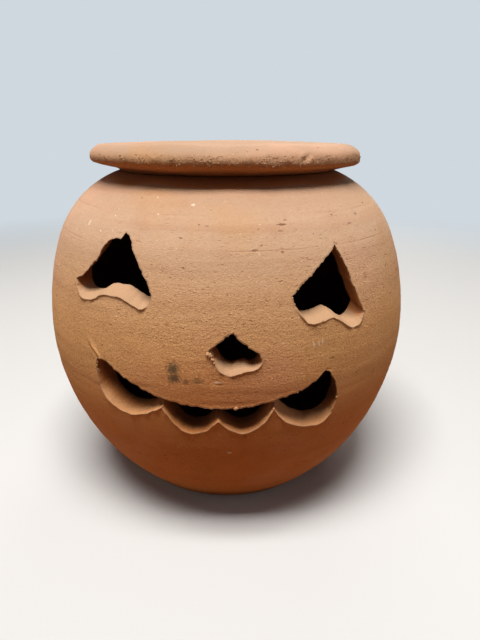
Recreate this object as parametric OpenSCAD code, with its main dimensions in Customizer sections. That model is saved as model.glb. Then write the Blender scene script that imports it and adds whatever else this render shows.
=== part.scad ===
// Terracotta jack-o'-lantern: a round thrown pot with a hand-cut face, and a loose disc lid.
// The pot stands on z = 0, on its own axis, and the face looks towards -Y.

/* [Pot] */
// Widest diameter of the pot
body_d = 200; // [190:1:220]
// Height of the widest ring above the ground
belly_z = 92; // [84:1:100]
// Diameter of the flat foot
foot_d = 118; // [100:1:140]
// Height of the rim, which carries the lid
rim_z = 172; // [165:1:180]
// Diameter at which the shoulder runs into the rim
rim_d = 116; // [108:1:124]
// Diameter of the mouth, inside its rounded lip
mouth_d = 98; // [80:1:102]
// Clay thickness at the belly
wall = 8.5; // [6:0.5:11]
// Clay thickness at the end of the shoulder
rim_wall = 6.5; // [5:0.5:9]
// Clay thickness under the hollow
floor_t = 10; // [6:0.5:14]
// Diameter of the hollow at its floor
floor_d = 110; // [90:1:114]
// Angle up the side at which the haunch curve hands over to the tighter shoulder curve
haunch_angle = 21; // [18:0.5:24]
// Angle that the shoulder has turned through when it reaches the rim
shoulder_angle = 71; // [66:0.5:76]

/* [Lid] */
// Diameter of the lid
lid_d = 144; // [130:1:160]
// Thickness of the lid under its rounded edge
lid_t = 13.2; // [10:0.1:18]
// Rise of the lid's top above its edge
lid_dome = 1.5; // [0.5:0.1:4]
// Diameter of the flat underside that sits on the rim
lid_seat_d = 118; // [112:1:126]
// Slope of the bevel from the seat up to the lid's edge
lid_bevel = 18; // [8:1:22]
// Depth of the ring under the lid that keeps it centred in the mouth
spigot_h = 9; // [6:0.5:14]
// Thickness of that ring
spigot_w = 7; // [5:0.5:10]
// Play between the ring and the mouth, on each side
spigot_play = 1.5; // [0.8:0.1:3]

/* [Left eye] */
// Angle round the pot, from the middle of the face
left_eye_turn = -32.5; // [-36:0.5:-30]
// Height of the sill between its two corners
left_eye_z = 126.5; // [122:0.5:130]
// Width of the sill
left_eye_w = 44.5; // [38:0.5:48]
// Height from the sill to the top
left_eye_h = 18.5; // [15:0.5:21]
// Width of the blunt top
left_eye_top = 11; // [2:0.5:16]
// Offset of the top from the middle of the sill
left_eye_lean = 1; // [-6:0.5:6]
// Tilt of the sill
left_eye_tilt = -1; // [-8:0.5:8]
// Places along the sill of the two scallops under it
left_eye_scallop_x = [-13, 16]; // [-18:0.5:18]
// Radii of the scallops
left_eye_scallop_r = [12, 7]; // [5:0.5:13]
// Depths of the scallops below the sill
left_eye_scallop_drop = [5, 4.5]; // [2:0.5:6]

/* [Right eye] */
// Angle round the pot, from the middle of the face
right_eye_turn = 27; // [24:0.5:33]
// Height of the sill between its two corners
right_eye_z = 120.5; // [118:0.5:126]
// Width of the sill
right_eye_w = 39; // [34:0.5:44]
// Height from the sill to the top
right_eye_h = 21; // [17:0.5:24]
// Width of the blunt top
right_eye_top = 1.5; // [1:0.5:12]
// Offset of the top from the middle of the sill
right_eye_lean = 0; // [-6:0.5:6]
// Tilt of the sill
right_eye_tilt = -15.5; // [-20:0.5:8]
// Places along the sill of the two scallops under it
right_eye_scallop_x = [-8, 10]; // [-14:0.5:14]
// Radii of the scallops
right_eye_scallop_r = [11, 9.5]; // [5:0.5:12]
// Depths of the scallops below the sill
right_eye_scallop_drop = [7, 6]; // [2:0.5:8]

/* [Nose] */
// Angle round the pot, from the middle of the face
nose_turn = 1.5; // [-4:0.5:4]
// Height of the sill between its two corners
nose_z = 104.5; // [101:0.5:107]
// Width of the sill
nose_w = 22; // [16:0.5:26]
// Height from the sill to the top
nose_h = 9.5; // [7:0.5:14]
// Width of the blunt top
nose_top = 2; // [1:0.5:8]
// Offset of the top from the middle of the sill
nose_lean = 0; // [-4:0.5:4]
// Tilt of the sill
nose_tilt = -9; // [-15:0.5:15]
// Places along the sill of the two scallops under it
nose_scallop_x = [-2, 6.5]; // [-8:0.5:8]
// Radii of the scallops
nose_scallop_r = [9, 4.5]; // [3:0.5:10]
// Depths of the scallops below the sill
nose_scallop_drop = [8.5, 5]; // [2:0.5:9]

/* [Smile] */
// Radius of the arc of the upper lip
smile_r = 101; // [85:1:130]
// Height of the upper lip at its lowest point
smile_z = 79.7; // [77:0.1:83]
// Angle round the pot of that lowest point
smile_turn = -4.5; // [-8:0.5:2]
// Height of the slit that joins the scallops under the lip
smile_slit = 5; // [4:0.5:7]
// Angles round the pot of the four scallops of the smile
scallop_turn = [-27, -9.5, 4, 21]; // [-32:0.5:26]
// Heights of their centres
scallop_z = [88.5, 76, 76.5, 80.5]; // [72:0.5:92]
// Radii of the scallops
scallop_r = [17.5, 10.7, 10.7, 15.5]; // [9:0.1:19]

/* [Knife] */
// Upward slope of the eye cuts from outside to inside
eye_rise = 17; // [0:1:25]
// Upward slope of the nose cut
nose_rise = 8; // [0:1:20]
// Upward slope of the smile cuts
smile_rise = 15; // [0:1:20]

/* [Hidden] */
$fn = 144;
// The dome is a small piece of a very large circle
dome_fn = 2880;

body_r = body_d / 2;
rim_r = rim_d / 2;
mouth_r = mouth_d / 2;
lid_r = lid_d / 2;
rim_t = rim_wall * sin(shoulder_angle);
spigot_r = mouth_r - spigot_play;
lid_edge_r = lid_t / 2;
lid_flat_r = lid_r - lid_edge_r;
dome_r = (lid_flat_r ^ 2 + lid_dome ^ 2) / (2 * lid_dome);
overlap = 1;
// The knife enters this far outside the skin and stops this far inside it
knife_out = body_d / 8;
knife_in = body_d / 5;
pot_colour = [0.74, 0.48, 0.31];
lid_colour = [0.78, 0.54, 0.39];

// Radius of the arc that leaves the belly upright and ends at a point lower by rise and inward by step
function foot_arc(step, rise) = (step ^ 2 + rise ^ 2) / (2 * step);

// Radii of the haunch and shoulder arcs, tangent to each other and to the belly, that end at the rim:
// the two sums of their steps, sideways and upward, are a pair of linear equations
function side_steps() = [1 - cos(haunch_angle), cos(haunch_angle) - cos(shoulder_angle)];
function rise_steps() = [sin(haunch_angle), sin(shoulder_angle) - sin(haunch_angle)];
function side_arcs(step, rise) =
  let (s = side_steps(), u = rise_steps(), det = s[0] * u[1] - s[1] * u[0])
  [(step * u[1] - s[1] * rise) / det, (s[0] * rise - step * u[0]) / det];

// Outer radius of the pot at a height below the shoulder
function skin_r(z) =
  let (
    low = foot_arc(body_r - foot_d / 2, belly_z),
    high = side_arcs(body_r - rim_r, rim_z - belly_z)[0],
    arc = z < belly_z ? low : high
  )
  body_r - arc + sqrt(arc ^ 2 - (z - belly_z) ^ 2);

// Half section, between two heights, of what a circle and the axis enclose
module band(r, centre, low, high) {
  intersection() {
    union() {
      translate(centre) circle(r);
      translate([0, low]) square([max(centre[0], overlap), high - low]);
    }
    translate([0, low]) square([2 * body_d, high - low]);
  }
}

// Half section of a thrown form: foot curve, haunch and shoulder
module thrown(belly, foot, foot_z, top, top_z) {
  low = foot_arc(belly - foot, belly_z - foot_z);
  arcs = side_arcs(belly - top, top_z - belly_z);
  turn_z = belly_z + arcs[0] * sin(haunch_angle);
  shoulder_c = [
    belly - arcs[0] + (arcs[0] - arcs[1]) * cos(haunch_angle),
    belly_z + (arcs[0] - arcs[1]) * sin(haunch_angle)
  ];
  band(low, [belly - low, belly_z], foot_z, belly_z);
  band(arcs[0], [belly - arcs[0], belly_z], belly_z, turn_z);
  band(arcs[1], shoulder_c, turn_z, top_z);
}

// Half section of the pot: the outer form less the hollow and the mouth, with a half-round lip
module pot_section() {
  inner_top_r = rim_r - rim_wall * cos(shoulder_angle);
  inner_top_z = rim_z - rim_t;
  lip_r = rim_t / 2;
  difference() {
    thrown(body_r, foot_d / 2, 0, rim_r, rim_z);
    thrown(body_r - wall, floor_d / 2, floor_t, inner_top_r, inner_top_z);
    translate([0, inner_top_z - overlap]) square([mouth_r + lip_r, rim_t + 2 * overlap]);
  }
  translate([mouth_r + lip_r, rim_z - lip_r]) circle(lip_r);
}

// Part of a circle that hangs below the sill line y = 0
module scallop(x, r, drop) {
  intersection() {
    translate([x, r - drop]) circle(r);
    translate([x - r, -2 * r]) square(2 * r);
  }
}

// Outline of an eye or the nose: a blunt triangle on a tilted, scalloped sill
module hole_outline(w, h, top, lean, tilt, xs, rs, drops) {
  rotate(tilt) {
    polygon([[-w / 2, 0], [w / 2, 0], [lean + top / 2, h], [lean - top / 2, h]]);
    for (i = [0 : len(xs) - 1]) scallop(xs[i], rs[i], drops[i]);
  }
}

// Outline of one scallop of the smile, under the lip's arc, with its share of the slit
module smile_outline(i) {
  last = len(scallop_turn) - 1;
  lip_x = skin_r(scallop_z[i]) * (smile_turn - scallop_turn[i]) * PI / 180;
  lip_centre = [lip_x, smile_z + smile_r - scallop_z[i]];
  reach = skin_r(scallop_z[i]) * PI / 360;
  left = i == 0 ? 0 : reach * (scallop_turn[i] - scallop_turn[i - 1]) + overlap;
  right = i == last ? 0 : reach * (scallop_turn[i + 1] - scallop_turn[i]) + overlap;
  difference() {
    union() {
      circle(scallop_r[i]);
      intersection() {
        translate(lip_centre) circle(smile_r + smile_slit);
        translate([-left, -smile_r]) square([left + right, 2 * smile_r]);
      }
    }
    translate(lip_centre) circle(smile_r);
  }
}

// Drives an outline through the wall at an angle round the pot and a height
module knife(turn, z, rise) {
  rotate(turn) translate([0, -skin_r(z), z]) rotate([90 + rise, 0, 0])
    translate([0, 0, -knife_in]) linear_extrude(knife_in + knife_out) children();
}

module face() {
  knife(left_eye_turn, left_eye_z, eye_rise)
    hole_outline(left_eye_w, left_eye_h, left_eye_top, left_eye_lean, left_eye_tilt,
      left_eye_scallop_x, left_eye_scallop_r, left_eye_scallop_drop);
  knife(right_eye_turn, right_eye_z, eye_rise)
    hole_outline(right_eye_w, right_eye_h, right_eye_top, right_eye_lean, right_eye_tilt,
      right_eye_scallop_x, right_eye_scallop_r, right_eye_scallop_drop);
  knife(nose_turn, nose_z, nose_rise)
    hole_outline(nose_w, nose_h, nose_top, nose_lean, nose_tilt,
      nose_scallop_x, nose_scallop_r, nose_scallop_drop);
  for (i = [0 : len(scallop_turn) - 1])
    knife(scallop_turn[i], scallop_z[i], smile_rise) smile_outline(i);
}

module pot() {
  color(pot_colour) difference() {
    rotate_extrude() pot_section();
    face();
  }
}

// Half section of what the bevel takes off the underside of the lid
module lid_bevel_section() {
  far_r = lid_r + overlap;
  polygon([
    [lid_seat_d / 2, rim_z],
    [far_r, rim_z + (far_r - lid_seat_d / 2) * tan(lid_bevel)],
    [far_r, rim_z - overlap],
    [lid_seat_d / 2, rim_z - overlap]
  ]);
}

// Half section of the lid: round-edged disc with a bevelled underside, domed top and centring ring
module lid_section() {
  difference() {
    union() {
      translate([0, rim_z]) square([lid_flat_r, lid_t]);
      translate([lid_flat_r, rim_z + lid_edge_r]) circle(lid_edge_r);
    }
    lid_bevel_section();
  }
  intersection() {
    translate([0, rim_z + lid_t + lid_dome - dome_r]) circle(dome_r, $fn = dome_fn);
    translate([0, rim_z + lid_edge_r]) square([lid_flat_r, lid_edge_r + 2 * lid_dome]);
  }
  translate([spigot_r - spigot_w, rim_z - spigot_h + spigot_w / 2]) square([spigot_w, spigot_h]);
  translate([spigot_r - spigot_w / 2, rim_z - spigot_h + spigot_w / 2]) circle(spigot_w / 2);
}

module lid() {
  color(lid_colour) rotate_extrude() lid_section();
}

pot();
lid();
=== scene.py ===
import bpy
import numpy as np
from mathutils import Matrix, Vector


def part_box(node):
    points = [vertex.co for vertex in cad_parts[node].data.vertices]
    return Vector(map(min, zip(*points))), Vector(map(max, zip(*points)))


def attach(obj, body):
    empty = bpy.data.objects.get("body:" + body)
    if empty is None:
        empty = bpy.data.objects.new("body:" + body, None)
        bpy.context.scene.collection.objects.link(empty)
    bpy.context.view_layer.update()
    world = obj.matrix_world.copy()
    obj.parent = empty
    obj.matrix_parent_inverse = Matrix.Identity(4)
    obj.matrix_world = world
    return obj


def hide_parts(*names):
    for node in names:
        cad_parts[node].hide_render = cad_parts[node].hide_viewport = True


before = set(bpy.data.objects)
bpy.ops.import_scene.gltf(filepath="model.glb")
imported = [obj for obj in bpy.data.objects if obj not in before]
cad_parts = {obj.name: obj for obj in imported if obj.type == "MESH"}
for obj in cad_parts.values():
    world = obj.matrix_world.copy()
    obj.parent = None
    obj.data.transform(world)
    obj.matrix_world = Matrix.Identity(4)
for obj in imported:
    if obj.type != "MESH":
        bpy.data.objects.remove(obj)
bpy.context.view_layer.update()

# Terracotta jack-o'-lantern: a thrown pot with a face cut through its wall, and a loose disc lid.
# Shapes are worked out in millimetres. A place round the axis is a turn in degrees, 0 at the middle of
# the face and positive to the right of someone who looks at it.

perMetre = 1000
potLow, potHigh = (np.array(corner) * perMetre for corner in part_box("pot"))
lidLow, lidHigh = (np.array(corner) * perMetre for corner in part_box("lid"))
print("frame loaded:", ", ".join(sorted(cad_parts)))


# Cubic step from 0 at start to 1 at end: 3t^2 - 2t^3
def ease(value, start, end):
    t = np.clip((value - start) / (end - start), 0, 1)
    return t * t * (3 - 2 * t)


# Up from 0 to 1 between the first two places, and down again between the last two
def between(value, start, full, fading, end):
    return ease(value, start, full) * (1 - ease(value, fading, end))


# Value noise: random heights at the corners of a lattice, blended by that cubic. The lattice repeats
# every wrap cells across, so that noise round the axis meets itself
def valueNoise(across, up, seed, wrap=64):
    tall = 64
    corners = np.random.default_rng(seed).uniform(-1, 1, (tall, wrap))
    column = np.floor(across).astype(int)
    row = np.floor(up).astype(int)
    s = ease(across - column, 0, 1)
    t = ease(up - row, 0, 1)
    left, right = column % wrap, (column + 1) % wrap
    below, above = row % tall, (row + 1) % tall
    low = corners[below, left] * (1 - s) + corners[below, right] * s
    high = corners[above, left] * (1 - s) + corners[above, right] * s
    return low * (1 - t) + high * t


# The same noise laid round the axis: its amount, then cells in degrees across and in millimetres up
def roundNoise(turn, height, amount, cellTurn, cellRise, seed):
    cells = round(360 / cellTurn)
    return amount * valueNoise(turn / 360 * cells, height / cellRise, seed, cells)


# Degrees from one turn to another, the shorter way round
def turnGap(turn, other):
    return (turn - other + 180) % 360 - 180


# Smooth curve through a few points: each span is the cubic whose end slopes are half the chord between
# the neighbouring points
def smoothStroke(points, perSpan=24):
    p = np.array(points, float)
    p = np.vstack([2 * p[0] - p[1], p, 2 * p[-1] - p[-2]])
    a, b, c, d = p[:-3, None], p[1:-2, None], p[2:-1, None], p[3:, None]
    t = np.linspace(0, 1, perSpan, endpoint=False)[None, :, None]
    curve = b + (c - a) * t / 2
    curve = curve + (2 * a - 5 * b + 4 * c - d) * t ** 2 / 2
    curve = curve + (3 * b - a - 3 * c + d) * t ** 3 / 2
    return curve.reshape(-1, 2)


# Path through corner points, cut into even steps and then averaged with its neighbours to soften it
def softPath(corners, step, passes):
    corners = np.array(corners, float)
    along = np.concatenate([[0], np.cumsum(np.hypot(*np.diff(corners, axis=0).T))])
    even = np.linspace(0, along[-1], round(along[-1] / step) + 1)
    path = np.stack([np.interp(even, along, corners[:, k]) for k in (0, 1)], -1)
    for _ in range(passes):
        path[1:-1] = (path[:-2] + 2 * path[1:-1] + path[2:]) / 4
    return path


# Points on an arc of a circle, or of an ellipse whose two radii are given, from one angle to another
def arc(centre, radius, start, end, count):
    angle = np.radians(np.linspace(start, end, count))
    return np.array(centre) + np.stack([np.cos(angle), np.sin(angle)], -1) * radius


def putInScene(name, data):
    thing = bpy.data.objects.new(name, data)
    bpy.context.scene.collection.objects.link(thing)
    return thing


# Rings of points round the axis or round a cut, kept as arrays until the mesh is made
class ClayMesh:
    def __init__(self):
        self.blocks = []
        self.faces = []
        self.size = 0

    # A point is at x = r sin(turn), y = -r cos(turn); gives back the points' numbers, shaped alike
    def add(self, turn, radius, height, cut=0.0, inside=0.0):
        turn, radius, height, cut, inside = np.broadcast_arrays(turn, radius, height, cut, inside)
        angle = np.radians(turn)
        block = [radius * np.sin(angle), -radius * np.cos(angle), height, cut, inside]
        self.blocks.append(np.stack(block, -1).reshape(-1, 5))
        number = self.size + np.arange(turn.size).reshape(turn.shape)
        self.size += turn.size
        return number

    # One point on the axis
    def middle(self, height, inside=0.0):
        return self.add(np.zeros(1), 0, height, 0, inside)

    # Four-sided faces between neighbouring rows of closed rings, where keep says so
    def skin(self, number, keep=True):
        a, b = number[:-1], number[1:]
        quads = np.stack([a, np.roll(a, -1, 1), np.roll(b, -1, 1), b], -1)
        self.faces.append(quads[np.broadcast_to(keep, a.shape)])

    # Faces from one ring to the next. Half as many points give five-sided faces, and one point a fan
    def bridge(self, a, b):
        if len(b) == 1:
            loop = [a, np.roll(a, -1), np.full_like(a, b[0])]
        elif len(a) == 1:
            loop = [np.full_like(b, a[0]), np.roll(b, -1), b]
        elif len(a) == 2 * len(b):
            loop = [a[::2], a[1::2], np.roll(a[::2], -1), np.roll(b, -1), b]
        elif len(b) == 2 * len(a):
            loop = [a, np.roll(a, -1), np.roll(b[::2], -1), b[1::2], b[::2]]
        else:
            loop = [a, np.roll(a, -1), np.roll(b, -1), b]
        self.faces.append(np.stack(loop, -1))

    # Makes the mesh from the points that a face uses, with the two masks that the clay reads
    def build(self, name, material):
        used = np.unique(np.concatenate([block.ravel() for block in self.faces]))
        renumber = np.zeros(self.size, int)
        renumber[used] = np.arange(len(used))
        faces = [row for block in self.faces for row in renumber[block].tolist()]
        data = np.concatenate(self.blocks)[used]
        mesh = bpy.data.meshes.new(name)
        mesh.from_pydata((data[:, :3] / perMetre).tolist(), [], faces)
        for column, mask in ((3, "cut"), (4, "inside")):
            values = np.ascontiguousarray(data[:, column], np.float32)
            mesh.attributes.new(mask, "FLOAT", "POINT").data.foreach_set("value", values)
        mesh.polygons.foreach_set("use_smooth", np.ones(len(faces), bool))
        mesh.materials.append(material)
        mesh.update()
        triangles = sum(len(block) * (block.shape[1] - 2) for block in self.faces)
        print(name, "has", len(used), "points and", triangles, "triangles")
        return putInScene(name, mesh)


# One output of a material's or world's nodes. An operator on it adds a Math node, so masks read as sums
class Wire:
    def __init__(self, tree, socket=None):
        self.tree = tree
        self.socket = socket

    # Adds a node: its type, its settings, then values or links for its inputs
    def node(self, kind, settings={}, inputs={}, output=0):
        new = self.tree.nodes.new("ShaderNode" + kind)
        for name, value in settings.items():
            setattr(new, name, value)
        for name, value in inputs.items():
            if isinstance(value, Wire):
                self.tree.links.new(value.socket, new.inputs[name])
            else:
                new.inputs[name].default_value = value
        return Wire(self.tree, new.outputs[output] if new.outputs else None)

    # Another output of the same node
    def other(self, output):
        return Wire(self.tree, self.socket.node.outputs[output])

    def math(self, operation, value):
        return self.node("Math", {"operation": operation}, {0: self, 1: value})

    def __add__(self, value):
        return self.math("ADD", value)

    def __sub__(self, value):
        return self.math("SUBTRACT", value)

    def __rsub__(self, value):
        return self.node("Math", {"operation": "SUBTRACT"}, {0: value, 1: self})

    def __mul__(self, value):
        return self.math("MULTIPLY", value)

    __radd__ = __add__
    __rmul__ = __mul__

    # 0 at start, 1 at end, smooth between, and the other way round if start is the larger
    def fade(self, start, end):
        low, high = min(start, end), max(start, end)
        ends = {"From Min": low, "From Max": high, "To Min": 0.0, "To Max": 1.0}
        if start > end:
            ends.update({"To Min": 1.0, "To Max": 0.0})
        return self.node("MapRange", {"interpolation_type": "SMOOTHSTEP"}, {"Value": self, **ends})

    def stretch(self, x, y, z):
        return self.node("VectorMath", {"operation": "MULTIPLY"}, {0: self, 1: (x, y, z)})

    def distance(self, point):
        inputs = {0: self, 1: tuple(point)}
        return self.node("VectorMath", {"operation": "DISTANCE"}, inputs, "Value")

    def noise(self, scale, detail=2.0, roughness=0.5):
        inputs = {"Vector": self, "Scale": scale, "Detail": detail, "Roughness": roughness}
        return self.node("TexNoise", {}, inputs, "Fac")

    # Moved about by up to half the amount, so that what is laid on it gets uneven edges
    def warp(self, scale, amount):
        swirl = self.node("TexNoise", {}, {"Vector": self, "Scale": scale, "Detail": 2.0}, "Color")
        inputs = {0: swirl, 1: (amount, amount, amount), 2: self}
        return self.node("VectorMath", {"operation": "MULTIPLY_ADD"}, inputs)

    def cells(self, scale):
        return self.node("TexVoronoi", {}, {"Vector": self, "Scale": scale}, "Distance")

    # A random share for each of those cells, faded between two values
    def pick(self, start, end):
        return (self.other("Color") * 1.0).fade(start, end)

    # Colour first where this mask is 0, colour second where it is 1
    def tint(self, first, second):
        return self.node("Mix", {"data_type": "RGBA"}, {0: self, 6: first, 7: second}, 2)


# Clears the nodes of a material or world, and gives a Wire to add new ones from
def emptyNodes(owner):
    owner.use_nodes = True
    owner.node_tree.nodes.clear()
    return Wire(owner.node_tree)


# Linear colour from the eight-bit screen values that a colour picker shows: a power curve that starts as
# a straight line
def screen(red, green, blue):
    share = np.array([red, green, blue]) / 255
    linear = np.where(share > 0.04045, ((share + 0.055) / 1.055) ** 2.4, share / 12.92)
    return (*linear.tolist(), 1.0)


potForm = {
    "bellyHeight": 92, "footDiameter": 118, "rimDiameter": 116, "mouthDiameter": 98,
    "wall": 8.5, "rimWall": 6.5, "floor": 10, "floorDiameter": 110,
    "haunchAngle": 21, "shoulderAngle": 71,               # degrees that the side has turned through
    "footRound": 1.8, "lipGap": 0.05,                     # the lip stays that little below the lid
    "frontReach": 60, "frontStep": 0.5, "backStep": 2,    # columns of the mesh, degrees
    "rowStep": 1.35, "profilePoints": 4000,               # rows up the wall
    "sag": 24, "sagTurn": -3, "sagWidth": 36,             # dip of the rows under the smile
    "sagRows": (8, 88, 100, 165), "sagPasses": 40,
    "innerLow": 14, "innerTop": 163,                      # heights between which the hollow has rows
    "lipStep": 0.9, "floorStep": 2, "softening": 2,
    # painted shadow under the lid: its strength on the shoulder and the heights over which it comes in, then
    # the radii over which the lip darkens into the mouth as soot and painted shade
    "rimShadow": 0.55, "rimShadowHeights": (166.8, 171), "lipSootShadeRadii": (53, 49),
    "swirl": 0.35, "swirlPitch": 0.75, "swirlReach": 12,  # spiral on the floor, radians to the millimetre
    "wire": 0.14, "wirePitch": 1.1, "wireReach": 6,       # marks of the wire that cut the base
    "wireCentre": (-70, 20), "baseRings": 26, "baseStep": 1.5, "baseMiddle": 0.1,
}
rimHeight = potHigh[2]
bellyRadius = (potHigh[0] - potLow[0]) / 2


# Radius of a thrown wall at a height: a foot arc that is upright at the belly, then a haunch arc and
# a tighter shoulder arc, each tangent to the last, whose two radii make the side end at the top point
def thrownRadius(height, belly, foot, footHeight, top, topHeight):
    middle = potForm["bellyHeight"]
    haunch, shoulder = np.radians([potForm["haunchAngle"], potForm["shoulderAngle"]])
    footArc = ((belly - foot) ** 2 + (middle - footHeight) ** 2) / (2 * (belly - foot))
    inward = [1 - np.cos(haunch), np.cos(haunch) - np.cos(shoulder)]
    upward = [np.sin(haunch), np.sin(shoulder) - np.sin(haunch)]
    haunchArc, shoulderArc = np.linalg.solve([inward, upward], [belly - top, topHeight - middle])
    step = haunchArc - shoulderArc
    up = height - middle
    high = np.minimum(up - step * np.sin(haunch), shoulderArc * np.sin(shoulder))
    low = belly - footArc + np.sqrt(footArc ** 2 - np.minimum(up, 0) ** 2)
    side = belly - haunchArc + np.sqrt(haunchArc ** 2 - np.clip(up, 0, haunchArc * upward[0]) ** 2)
    end = belly - haunchArc + step * np.cos(haunch) + np.sqrt(shoulderArc ** 2 - np.maximum(high, 0) ** 2)
    return np.where(up < 0, low, np.where(up < haunchArc * upward[0], side, end))


def outerRadius(height):
    foot, rim = potForm["footDiameter"] / 2, potForm["rimDiameter"] / 2
    return thrownRadius(height, bellyRadius, foot, 0, rim, rimHeight)


# The lip is a half-round of this thickness, at the end of the wall
lipAngle = np.radians(potForm["shoulderAngle"])
lipThick = potForm["rimWall"] * np.sin(lipAngle)
innerRim = potForm["rimDiameter"] / 2 - potForm["rimWall"] * np.cos(lipAngle)


def innerRadius(height):
    belly, foot = bellyRadius - potForm["wall"], potForm["floorDiameter"] / 2
    return thrownRadius(height, belly, foot, potForm["floor"], innerRim, rimHeight - lipThick)


potRelief = {
    "oval": 0.35, "ovalTurn": 35, "fingerRidge": 0.35, "fingerPitch": 9.5,
    # noises: amount in millimetres, cell in degrees and in millimetres, and seed
    "lump": (0.3, 20, 30, 1), "drift": (2.5, 45, 60, 2), "ring": (0.09, 90, 4.3, 3),
    "wave": (0.07, 12, 2.1, 4), "innerLump": (0.4, 24, 26, 6), "lipSway": (0.25, 20, 20, 8),
    # uneven lower edge of the painted shadow under the lid
    "rimShadowEdge": (1.2, 15, 20, 9),
    "footFade": (1, 8), "rimFade": (5, 1),    # it fades out towards the foot and the rim
    "pits": 110, "pitHeights": (12, 166), "pitRadius": (0.8, 1.8), "pitDepth": (0.12, 0.4), "seed": 11,
    # turn, height, radius and depth of the dents that show
    "dents": [(15, 154.6, 1.6, 0.5), (45.5, 155.6, 2.0, 0.5), (15.3, 145.1, 1.2, 0.4),
              (10.4, 127.6, 1.2, 0.4), (40.6, 129.9, 1.4, 0.5), (-16.7, 137.7, 1.2, 0.4),
              (-22.2, 94.5, 1.2, 0.3), (-3, 93, 1.4, 0.25)],
    # the knife ran on past the left corner of the smile
    "slip": [(-36.2, 96), (-39.6, 101.2)], "slipDepth": 0.7, "slipWidth": 0.6,
    "ridge": 0.45, "ridgeAway": 1.6, "ridgeWidth": 0.9,
}


# Millimetres along the skin between two places
def skinGap(turn, height, place):
    return np.radians(turnGap(turn, place[0])) * outerRadius(height), height - place[1]


# Radius of the outer skin with its relief: oval, lumps, throwing rings, dents, and the groove of the
# knife's slip
def skinRadius(turn, height):
    r = potRelief
    relief = r["oval"] * np.cos(np.radians(2 * (turn - r["ovalTurn"])))
    relief = relief + roundNoise(turn, height, *r["lump"])
    drift = height + roundNoise(turn, height, *r["drift"])
    relief = relief + roundNoise(turn, drift, *r["ring"])
    relief = relief + roundNoise(turn, drift, *r["wave"])
    draw = np.random.default_rng(r["seed"])
    spans = [(-180, 180), r["pitHeights"], r["pitRadius"], r["pitDepth"]]
    pits = np.stack([draw.uniform(*span, r["pits"]) for span in spans], -1)
    for place in [*pits.tolist(), *r["dents"]]:
        across, up = skinGap(turn, height, place)
        relief = relief - place[3] * np.exp(-(across ** 2 + up ** 2) / (0.5 * place[2] ** 2))
    across, up = skinGap(turn, height, r["slip"][0])
    line = np.array(skinGap(*r["slip"][1], r["slip"][0]))
    length = np.hypot(*line)
    along = np.clip((across * line[0] + up * line[1]) / length, 0, length)
    beside = (across * line[1] - up * line[0]) / length
    off = np.hypot(across - along * line[0] / length, up - along * line[1] / length)
    groove = r["slipDepth"] * (1 - along / length) * np.exp(-(off / r["slipWidth"]) ** 2)
    ridge = r["ridge"] * np.exp(-((off - r["ridgeAway"]) / r["ridgeWidth"]) ** 2) * ease(beside, 0, 1)
    relief = relief - groove + ridge
    rimFade = [rimHeight - gap for gap in r["rimFade"]]
    return outerRadius(height) + relief * between(height, *r["footFade"], *rimFade)


# Radius of the hollow with the finger ridges that throwing leaves: a slow spiral of rounded rings
def hollowRadius(turn, height):
    spiral = height / potRelief["fingerPitch"] - turn / 360
    ridges = potRelief["fingerRidge"] * np.abs(np.sin(np.pi * spiral))
    return innerRadius(height) + (ridges + roundNoise(turn, height, *potRelief["innerLump"]))
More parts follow.
